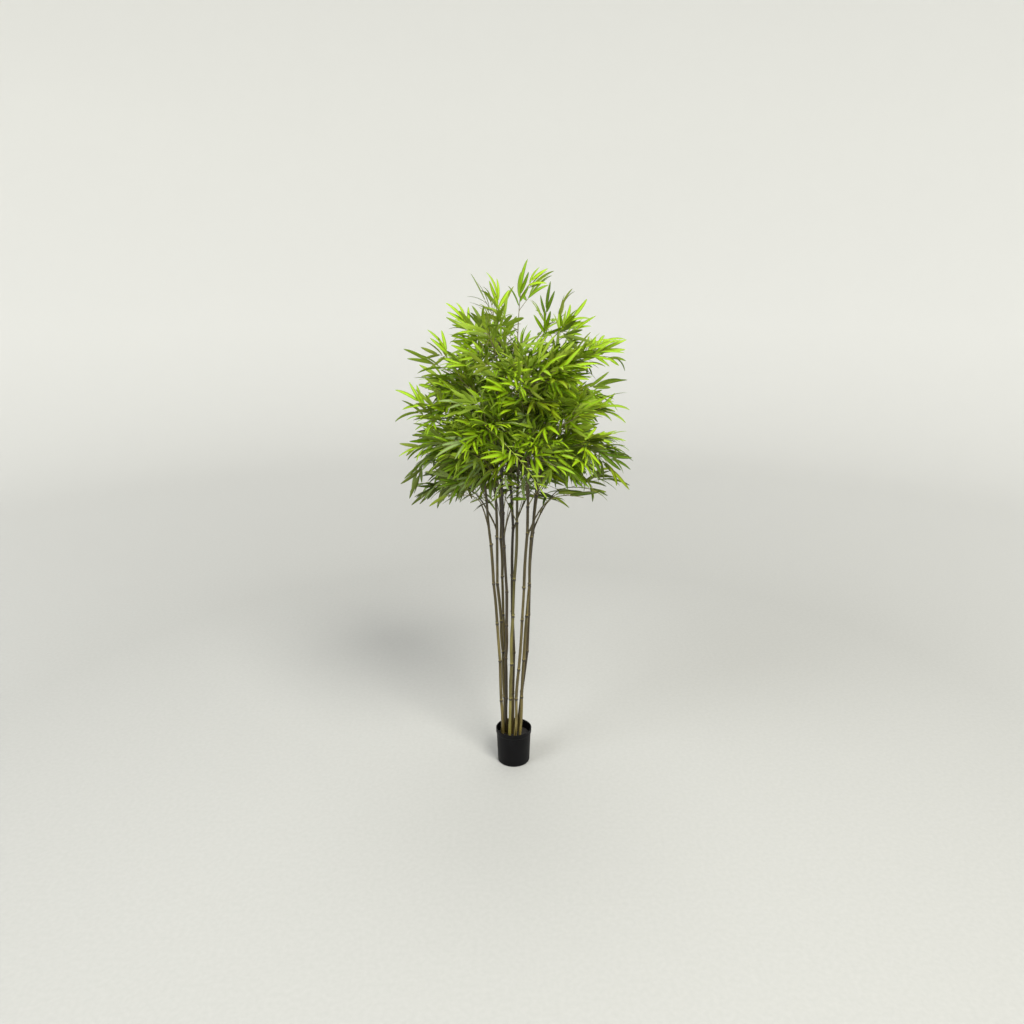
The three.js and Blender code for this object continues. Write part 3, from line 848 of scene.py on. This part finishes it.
def leaf_finishes(tone):
    colour, *_ = LEAF_TONES[tone]
    margin, middle = ([c * share for c, share in zip(colour, part)] for part in (MARGIN, MIDDLE))
    under = [mix(c, u, UNDERSIDE_SHARE) for c, u in zip(colour, UNDERSIDE)]
    kinds = {"margin": (margin, 0.42), "middle": (middle, 0.42), "under": (under, 0.55)}
    return [leaf_finish(f"leaf_{tone}_{kind}", *look) for kind, look in kinds.items()]


TWIG_STOPS = (0.3, 0.55, 0.75)
TWIG_TONES = ((0.10, 0.085, 0.03), (0.19, 0.17, 0.06), (0.22, 0.25, 0.07))
SPRIG_TONES = ((0.20, 0.23, 0.03), (0.28, 0.36, 0.03), (0.33, 0.45, 0.04))


def twig_finish(name, tones):
    nodes = Nodes(name)
    patches = nodes.noise(18)
    fibres = nodes.noise(420)
    base = nodes.ramp(patches, list(zip(TWIG_STOPS, tones)))
    nodes.bump(fibres, 0.35, 0.0003)
    return nodes.finish(base, nodes.spread(fibres, 0.5, 0.72))


# Each kind's pale and dull colours. The dark kind is painted shade: a darker copy of the cane colours for
# canes that stand in the shade of the others
CANE_COLOURS = {
    "tan": ((0.35, 0.28, 0.085), (0.052, 0.038, 0.01)),
    "olive": ((0.37, 0.325, 0.08), (0.075, 0.062, 0.013)),
    "dark": ((0.135, 0.096, 0.03), (0.022, 0.015, 0.005)),
}
RING_LINE = (0.025, 0.017, 0.008)
# The canes given the dark kind carry painted shade
CANE_KINDS = ("tan", "tan", "tan", "dark", "olive", "dark", "tan", "tan", "dark")


def cane_finish(kind):
    """Dried cane: streaks along it, blotches, a dark line at each ring and a paler band over it, and painted
    shade from the crown that darkens it towards the top.
    """
    nodes = Nodes(f"cane_{kind}")
    pale, dull = CANE_COLOURS[kind]
    streaks = nodes.noise(1, 4, stretch=(260, 260, 9))
    streaks = nodes.ramp(streaks, [(0.36, (0, 0, 0)), (0.64, (1, 1, 1))])
    blotches = nodes.noise(1, stretch=(22, 22, 9))
    height = nodes.add("ShaderNodeSeparateXYZ", Vector=nodes.place()).outputs["Z"]
    ring = nodes.attribute("ring")
    base = rgba(dull)
    for share, colour in (
        (streaks, rgba(pale)),
        (nodes.spread(nodes.attribute("tone"), 0, 0.75), rgba(dull, 1.1)),
        (nodes.spread(blotches, 0, 0.55), rgba(dull, 0.8)),
        # painted shade: the cane darker towards the top, under and in the crown
        (nodes.spread(height, 0, 0.75, 0.35, 1.15), rgba(dull, 0.5)),
        (nodes.clamped(ring), rgba(RING_LINE)),
        (nodes.clamped(nodes.maths("MULTIPLY", ring, -1)), rgba(pale, 1.5)),
    ):
        base = nodes.blend(share, base, colour)
    nodes.bump(streaks, 0.3, 0.0006)
    return nodes.finish(base, nodes.spread(blotches, 0.2, 0.42))


BOUGH_TONES = ((0.3, (0.045, 0.034, 0.015)), (0.6, (0.11, 0.09, 0.035)), (0.8, (0.15, 0.14, 0.05)))
BOUGH_STREAK = (0.03, 0.022, 0.01)


def bough_finish():
    nodes = Nodes("bough_skin")
    streaks = nodes.noise(1, 4, stretch=(300, 300, 40))
    base = nodes.ramp(nodes.noise(30), BOUGH_TONES)
    base = nodes.blend(nodes.maths("MULTIPLY", streaks, 0.5), base, rgba(BOUGH_STREAK))
    nodes.bump(streaks, 0.45, 0.0006)
    return nodes.finish(base, nodes.spread(streaks, 0.5, 0.75))


POT_TONES = ((0.35, (0.0022, 0.0021, 0.0026)), (0.7, (0.0042, 0.0041, 0.0050)))
POT_SPECULAR = 0.13
FILLING_TONES = ((0.35, (0.006, 0.005, 0.005)), (0.7, (0.022, 0.019, 0.017)))


def pot_finish():
    nodes = Nodes("pot_plastic")
    grain = nodes.noise(900, 4)
    marks = nodes.noise(16, 4)
    base = nodes.ramp(marks, POT_TONES)
    nodes.bump(grain, 0.12, 0.0004)
    return nodes.finish(base, nodes.spread(marks, 0.42, 0.62), POT_SPECULAR)


def filling_finish():
    nodes = Nodes("dark_filling")
    lumps = nodes.noise(130, 6, 0.7)
    base = nodes.ramp(lumps, FILLING_TONES)
    nodes.bump(lumps, 0.7, 0.002)
    return nodes.finish(base, nodes.spread(lumps, 0.8, 0.98))


# Canes and boughs
CANE_SIDES = 20
CANE_STEP = 6
CANE_SUNK = 6
CANE_FULLER = 0.5
CANE_BOW = 4.0
CANE_UNEVEN = 0.9
CANE_ROUNDED = 9
CANE_DRAWN_IN = 0.25
GRAIN_RELIEF = 0.06
GRAIN_SCALES = (0.11, 0.11, 0.012)
GRAIN_APART = 9
RING_HALF = 13
RING_OFFSETS = (-12, -9, -6.5, -4.8, -3.6, -2.6, -1.8, -1, -0.3, 0.4, 1.2, 2.2, 3.4, 5, 7.5, 11)
STUB_SHARE = 0.8
STUB_RADIUS = 2.9
STUB_LENGTHS = (5, 11)
STUB_TURN = 144
STUB_RISES = (0.5, 1.1)
STUB_SUNK = 0.55
STUB_OVER_RING = 2
STUB_SIDES = 9
BOUGH_SIDES = 12
BOUGH_STEPS = 56
COLLAR = 1.6
COLLAR_LENGTH = 9
BOUGH_RINGS = (34, 47)

# Along a stub: the share of its length, the share of its radius, and how dark it is
STUB_PROFILE = ((0, 1.35, 0.25), (0.45, 1.08, 0.1), (0.8, 1, 0.3), (1, 0.9, 0.75))

# Swellings and colourings at a ring: how much of each, how far over the ring, and how wide it spreads
CANE_RING = ((1.25, 0, 4.5), (0.7, -2.6, 1.1), (-0.9, -0.6, 0.9))
CANE_RING_COLOUR = ((2.4, -1.2, 3.3), (-0.35, 6.2, 2.2))
BOUGH_RING = ((0.65, 0, 2.6), (-0.3, 1, 0.9))


def bells(values, ring, parts):
    return sum(much * np.exp(-(((values - ring - over) / width) ** 2)) for much, over, width in parts)


def cane_relief(heights, line, draw):
    """Each height's extra radius, its ring number, over 0 where dark and under 0 where pale, and its tone."""
    extra, ring_number, tone = (np.zeros(len(heights)) for _ in range(3))
    for low, high in zip(line.rings, line.rings[1:]):
        inside = (heights > low.z) & (heights <= high.z)
        extra[inside] += (draw() - 0.5) * CANE_UNEVEN
        tone[inside] = draw()
    for ring in line.rings[1:-1]:
        extra += bells(heights, ring.z, CANE_RING)
        ring_number += bells(heights, ring.z, CANE_RING_COLOUR)
    return extra, ring_number, tone


def cane_heights(line):
    """Even steps up a cane, with closer ones at its rings."""
    heights = set(np.arange(line.foot - CANE_SUNK, line.tip, CANE_STEP).tolist()) | {line.tip}
    for ring in line.rings[1:-1]:
        heights = {z for z in heights if abs(z - ring.z) > RING_HALF} | {ring.z + off for off in RING_OFFSETS}
    return np.array(sorted(heights))


def cane_middles(line, heights, draw):
    """The cane's centre, where each length between two rings bows a little to one side."""
    middles = np.array([line.at_height(max(z, line.foot)) for z in heights])
    middles[:, 2] = heights
    for low, high in zip(line.rings, line.rings[1:]):
        share = np.clip((heights - low.z) / (high.z - low.z), 0, 1)
        bow = around(360 * draw(), CANE_BOW * draw(), 0)
        middles += np.sin(math.pi * share)[:, None] * np.array(bow)
    return middles


def cane_radius(line, z):
    share = np.clip((z - line.foot) / (line.tip - line.foot), 0, 1)
    return mix(CANE_FOOT_RADIUS, CANE_TIP_RADIUS, share)


def cane_piece(line, index, finish):
    draw = seeded(SCENE_SEED // 2 + index)
    heights = cane_heights(line)
    extra, ring_number, tone = cane_relief(heights, line, draw)
    radii = cane_radius(line, heights) + CANE_FULLER + extra
    tip = np.clip((heights - line.tip) / CANE_ROUNDED + 1, 0, 1)
    middles = cane_middles(line, heights, draw)[:, None]
    rings = tube_rings(middles[:, 0], radii * (1 - CANE_DRAWN_IN * tip**2), CANE_SIDES)
    places = rings.reshape(-1, 3) * GRAIN_SCALES + (0, 0, index * GRAIN_APART)
    grain = np.array([noise.noise(place) for place in places.tolist()])
    relief = 1 + GRAIN_RELIEF * grain.reshape(len(heights), CANE_SIDES, 1)
    shape = Shape()
    shape.loft(middles + (rings - middles) * relief, ring_number)
    tones = np.append(np.repeat(tone, CANE_SIDES), tone[[0, -1]])
    for k, ring in enumerate(line.rings[1:-1]):
        if draw() < STUB_SHARE:
            add_stub(shape, ring, cane_radius(line, ring.z), k, draw)
    tones = np.append(tones, np.zeros(shape.count - len(tones)))
    made = shape.piece(f"cane_{index + 1}_bark", finish, [f"cane_{index + 1}"], "cane_wood")
    for key, values in (("ring", np.concatenate(shape.values)), ("tone", tones)):
        attribute = made.data.attributes.new(key, "FLOAT", "POINT")
        attribute.data.foreach_set("value", values.astype(np.float32))


def add_stub(shape, ring, radius, k, draw):
    """The cut stub of a side branch, just over a ring, on the other side of the cane from the one before."""
    angle = 180 * (k % 2) + STUB_TURN * draw()
    length = mix(*STUB_LENGTHS, draw())
    way = around(angle, 1, mix(*STUB_RISES, draw())).normalized()
    start = ring + around(angle, radius * STUB_SUNK, STUB_OVER_RING)
    shares, widths, shades = np.transpose(STUB_PROFILE)
    points = [start + way * (length * share) for share in shares]
    shape.loft(tube_rings(points, widths * STUB_RADIUS, STUB_SIDES), shades)


def bough_piece(mass, finish):
    """A bough with a collar where it leaves its cane, and a small swelling at each of its own rings."""
    shares = np.linspace(0, 1, BOUGH_STEPS + 1)
    points = [mass["bough"].point(t) for t in shares]
    length = sum((b - a).length for a, b in zip(points, points[1:]))
    along = shares * length
    radii = mix(BOUGH_FOOT_RADIUS, BOUGH_TIP_RADIUS, shares) + COLLAR * np.exp(-along / COLLAR_LENGTH)
    first, spacing = BOUGH_RINGS
    for at in np.arange(first, length, spacing):
        radii += bells(along, at, BOUGH_RING)
    shape = Shape()
    shape.loft(tube_rings(points, radii, BOUGH_SIDES))
    node = f"bough_{mass['name']}"
    shape.piece(f"{node}_bark", finish, [node], "bough_wood")


def make_limbs(masses):
    skins = {kind: cane_finish(kind) for kind in CANE_COLOURS}
    for index, (line, kind) in enumerate(zip(cane_lines, CANE_KINDS)):
        cane_piece(line, index, skins[kind])
    skin = bough_finish()
    for mass in masses:
        if mass["bough"]:
            bough_piece(mass, skin)


# Pot and filling
POT_SIDES = 128
POT_UNEVEN = 0.004
POT_WAVES = (0.012, 0.012, 0.008)
POT_UNEVEN_FROM = 40
CORNER_STEPS = 5


def lathe(profile, sides, wobble=None):
    """A profile of (radius, height) pairs turned round the upright axis, as a ring for each pair."""
    turn = np.arange(sides) * 2 * math.pi / sides
    rings = []
    for radius, z in profile:
        ring = np.stack([radius * np.cos(turn), radius * np.sin(turn), np.full(sides, z, float)], 1)
        rings.append(wobble(ring) if wobble else ring)
    return rings


def rounded_profile(corners):
    """The profile through (radius, height, rounding) corners, as (radius, height) pairs."""
    points = [corners[0][:2]]
    for before, corner, after in zip(corners, corners[1:], corners[2:]):
        at = Vector(corner[:2])
        start, end = (at + (Vector(other[:2]) - at).normalized() * corner[2] for other in (before, after))
        shares = np.linspace(0, 1, CORNER_STEPS) if corner[2] else [0]
        points += [tuple(Arc(start, at, end).point(t)) for t in shares]
    return points + [corners[-1][:2]]


def pot_piece():
    _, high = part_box("pot")
    height = high.z / MM
    rim = high.x / MM
    proud, wall, lip, floor = 2.2, 2.2, 20, 3
    foot, recess = 68.5, 1.4

    def side(z):
        return mix(foot, rim - proud, z / height)

    profile = rounded_profile([
        (1, recess, 0),
        (foot - 12, recess, 0.6),
        (foot - 11, 0, 0.5),
        (foot - 3, 0, 1.2),
        (side(floor), floor, 1.4),
        (side(height - lip - 9), height - lip - 9, 0),
        (side(height - lip) - 0.1, height - lip - 1, 0.8),
        (rim - 0.4, height - lip + 1.4, 0.9),
        (rim, height - lip + 6, 0),
        (rim - 0.5, height - 5, 0),
        (rim - 0.1, height - 3.6, 0),
        (rim, height, 1.2),
        (rim - proud - wall, height, 1.0),
        (side(height - lip) - wall, height - lip, 0.6),
        (side(floor) - wall, floor, 0.8),
        (1, floor, 0),
    ])
    shape = Shape()
    shape.loft(lathe(profile, POT_SIDES, pot_wobble))
    shape.piece("pot_shell", pot_finish(), ["pot"], "pot_plastic")


def pot_wobble(ring):
    """Thin moulded plastic is never quite round, except at its foot."""
    for point in ring:
        off = noise.noise(point * POT_WAVES)
        point[:2] *= 1 + POT_UNEVEN * off * min(1, point[2] / POT_UNEVEN_FROM)
    return ring


FILLING_SIDES = 110
FILLING_RINGS = 34
FILLING_RADIUS = 70.4
FILLING_LOWER = 3
FILLING_EDGE_DROP = 2.2
FILLING_ROUGH = (0.9, 2.1)
MOUND = 1.92
MOUND_AWAY = 6
MOUND_WIDTH = 5

# Lumps in the filling: how close together, with how much detail, and how high
LUMPS = ((0.11, 4, 1.3), (0.5, 3, 0.5))


def filling_piece():
    """Cement with a rough, lumpy top that is drawn up a little round each cane."""
    low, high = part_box("filling")
    feet = [line.rings[0].xy for line in cane_lines]
    profile = [(FILLING_RADIUS - FILLING_LOWER, low.z / MM)]
    profile += [(r, high.z / MM - FILLING_LOWER) for r in np.linspace(FILLING_RADIUS, 1.2, FILLING_RINGS)]
    rings = lathe(profile, FILLING_SIDES)
    rings[1][:, 2] -= FILLING_EDGE_DROP
    for ring in rings[1:]:
        for point in ring:
            place = Vector((point[0], point[1], 0))
            for closeness, detail, height in LUMPS:
                point[2] += noise.fractal(place * closeness, *FILLING_ROUGH, detail) * height
            nearest = min(abs((place.xy - foot).length - MOUND_AWAY) for foot in feet)
            point[2] += MOUND * math.exp(-((nearest / MOUND_WIDTH) ** 2))
    shape = Shape()
    shape.loft(rings)
    shape.piece("filling_cement", filling_finish(), ["filling"], "filling_cement")


# Foliage: the leaves of each tier are dealt out to pieces by their spray's tone

# How lit a spray is, from DARKEST to 1: more to the right, the front and the top, less near both ends. Its
# tone paints this light and shade into the leaves
LIT_FROM = Vector((0, 0, 1560))
LIT_THERE = 0.52
LIT_RISE = Vector((1 / 5000, -1 / 1800, 1 / 520))
LIT_STRAYS = 0.4
LIT_OUTSIDE = 0.2
LIT_UP_TO = 1800
LESS_ABOVE = 1 / 300
SHADED_UNDER = 1430
LESS_UNDER = 1 / 160
DARKEST = -1.2


def tone_of(spray, draw):
    """The tone of a spray, picked by how lit it is there, so that light and shade are painted into its
    colour. The slim sprig's is always grey.
    """
    if spray[0]["width"] < LEAF_WIDTHS[1] * SLIM_WIDTH:
        return "grey"
    place = spray[0]["root"]
    level = Vector((place.x, place.y, min(place.z, LIT_UP_TO)))
    light = LIT_THERE + (level - LIT_FROM).dot(LIT_RISE) + (draw() - 0.5) * LIT_STRAYS
    light -= max(0, (place.z - LIT_UP_TO) * LESS_ABOVE, (SHADED_UNDER - place.z) * LESS_UNDER)
    light = clamped(light + LIT_OUTSIDE * (outness(place) - 0.5), DARKEST)
    pick, total = draw(), 0
    for tone, (_, lit, shade) in LEAF_TONES.items():
        total += mix(shade, lit, light)
        if pick <= total:
            return tone
    return "green"


def add_growth(tier, growth, draw):
    for line, radii, spray in growth:
        arc_tube(tier["twigs"], line, radii, SHOOT_STEPS if radii == SHOOT_RADII else TWIG_STEPS)
        if spray:
            tier["leaves"].setdefault(tone_of(spray, draw), []).extend(spray)


def make_foliage(masses):
    twig_skin = twig_finish("twig_skin", TWIG_TONES)
    finishes = {tone: leaf_finishes(tone) for tone in LEAF_TONES}
    draw = seeded(SCENE_SEED - 1)
    tiers = {}
    for index, mass in enumerate(masses):
        tier = tiers.setdefault(mass["tier"], {"nodes": [], "twigs": Shape(), "leaves": {}})
        tier["nodes"].append(f"foliage_{mass['name']}")
        add_growth(tier, grow_mass(mass, index), draw)
    for index, line in enumerate(cane_lines):
        add_growth(tiers["inner"], grow_branches(line, index), draw)
    for name, tier in tiers.items():
        tier["twigs"].piece(f"twigs_{name}", twig_skin, tier["nodes"], "bough_wood")
        for tone, leaves in tier["leaves"].items():
            leaf_piece(f"leaves_{name}_{tone}", leaves, tier["nodes"], finishes[tone])
    line, leaves = hanging_sprig(masses)
    stem = Shape()
    arc_tube(stem, line, HANGING_RADII, HANGING_STEPS)
    stem.piece("hanging_sprig_stem", twig_finish("sprig_skin", SPRIG_TONES), (), "bough_wood")
    leaf_piece("hanging_sprig_leaves", leaves, (), finishes["lime"])


# Stage, light and camera, in metres
STAGE_RINGS = (0.5, 2, 4, 6)
STAGE_BEND = 4
STAGE_BEND_STEPS = 16
STAGE_HEIGHT = 9
STAGE_SIDES = 96
STAGE_TONES = ((0.3, (0.44, 0.44, 0.425)), (0.7, (0.465, 0.465, 0.45)))
STAGE_FAR = (0.86, 0.86, 0.84)
STAGE_FADE = (2.5, 9)
WORLD_STRENGTH = 0.34

# Each light's place, the height on the plant's middle line that it points at, its size, watts and colour
LIGHTS = {
    "key": ((2.6, -4.6, 7.2), 1.4, 3.2, 680, (1.0, 0.99, 0.92)),
    "fill": ((-4.6, -3.4, 6.2), 1.2, 3.5, 270, (0.97, 0.99, 1.0)),
    "top": ((0.2, 2.4, 7.0), 1.4, 3.5, 105, (1.0, 1.0, 0.96)),
}


def stage_finish():
    """Pale paper with a fine grain, lighter far from the plant."""
    nodes = Nodes("stage_paper")
    out = nodes.add("ShaderNodeVectorMath", {"operation": "LENGTH"}, Vector=nodes.place((1, 1, 0)))
    far = nodes.spread(out.outputs["Value"], 0, 1, *STAGE_FADE)
    return nodes.finish(nodes.blend(far, nodes.ramp(nodes.noise(60), STAGE_TONES), rgba(STAGE_FAR)), 0.9)


def stage_floor():
    """A pale floor that curves up into a backdrop on all sides."""
    flat = STAGE_RINGS[-1]
    profile = [(radius, 0) for radius in STAGE_RINGS]
    for t in np.linspace(0.1, math.pi / 2, STAGE_BEND_STEPS):
        profile.append((flat + STAGE_BEND * math.sin(t), STAGE_BEND * (1 - math.cos(t))))
    profile.append((flat + STAGE_BEND, STAGE_HEIGHT))
    shape = Shape()
    shape.loft(lathe(profile, STAGE_SIDES))
    open_above = [face for face in shape.faces if shape.count - 1 not in face]
    floor = smooth_object("stage_floor", np.concatenate(shape.points), open_above, [stage_finish()])


def area_light(name, place, aim, size, watts, colour):
    data = bpy.data.lights.new(name, "AREA")
    data.size = size
    data.energy = watts
    data.color = colour
    light = scene_object(name, data)
    light.location = place
    light.rotation_euler = (UP * aim - Vector(place)).to_track_quat("-Z", "Y").to_euler()


def make_world():
    world = bpy.data.worlds.new("studio")
    world.use_nodes = True
    background = world.node_tree.nodes["Background"]
    background.inputs["Color"].default_value = (1, 1, 1, 1)
    background.inputs["Strength"].default_value = WORLD_STRENGTH
    bpy.context.scene.world = world


def make_camera():
    data = bpy.data.cameras.new("photo_camera")
    data.sensor_width = SENSOR
    data.lens = SENSOR * PHOTO_FOCAL / PHOTO_SIDE
    camera = scene_object("photo_camera", data)
    camera.location = CAMERA_PLACE
    camera.rotation_euler = (degrees(90 - CAMERA_DOWN), 0, 0)
    bpy.context.scene.camera = camera


make_camera()
make_world()
for light_name, light_facts in LIGHTS.items():
    area_light(light_name, *light_facts)
stage_floor()
pot_piece()
filling_piece()
plant_masses = skeleton()
make_limbs(plant_masses)
make_foliage(plant_masses)
bpy.context.scene.view_settings.view_transform = "Standard"
